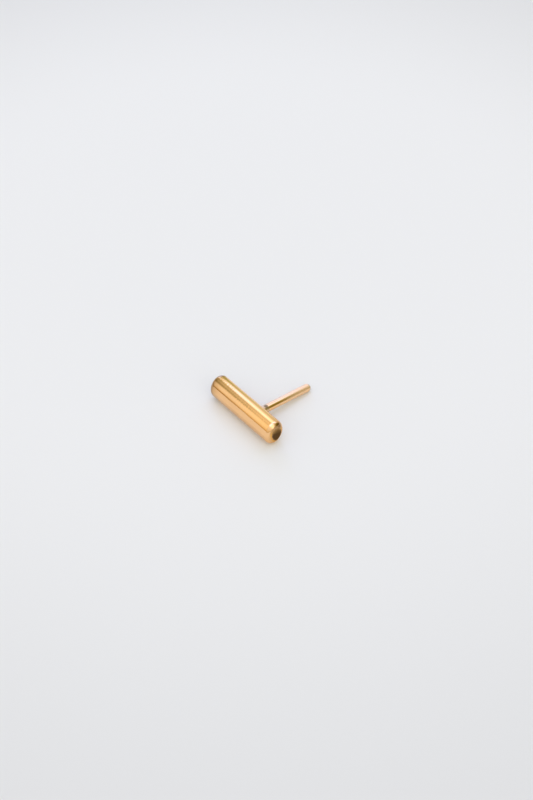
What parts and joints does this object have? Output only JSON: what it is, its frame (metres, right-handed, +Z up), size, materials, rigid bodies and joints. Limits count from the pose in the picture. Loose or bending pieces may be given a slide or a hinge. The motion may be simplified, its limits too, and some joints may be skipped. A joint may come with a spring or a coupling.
{
  "type": "bar stud earring",
  "caption": "Short rounded bar with a flattened back and a straight ear post soldered to it, lying on its side.",
  "frame": {"origin": "on the surface that the stud lies on, under the middle of its box", "axes": "+X along the bar, towards the end that the post is nearer to; +Y the way the post leaves the back of the bar; +Z up. The post slopes down by 7.1 degrees to the surface"},
  "size_m": [0.01, 0.0094, 0.0029],
  "materials": {
    "polished_gold": "polished yellow gold with fine polishing lines, slightly duller solder at the foot of the post"
  },
  "bodies": {
    "root": {"bar_stud": "polished_gold"}
  },
  "joints": []
}
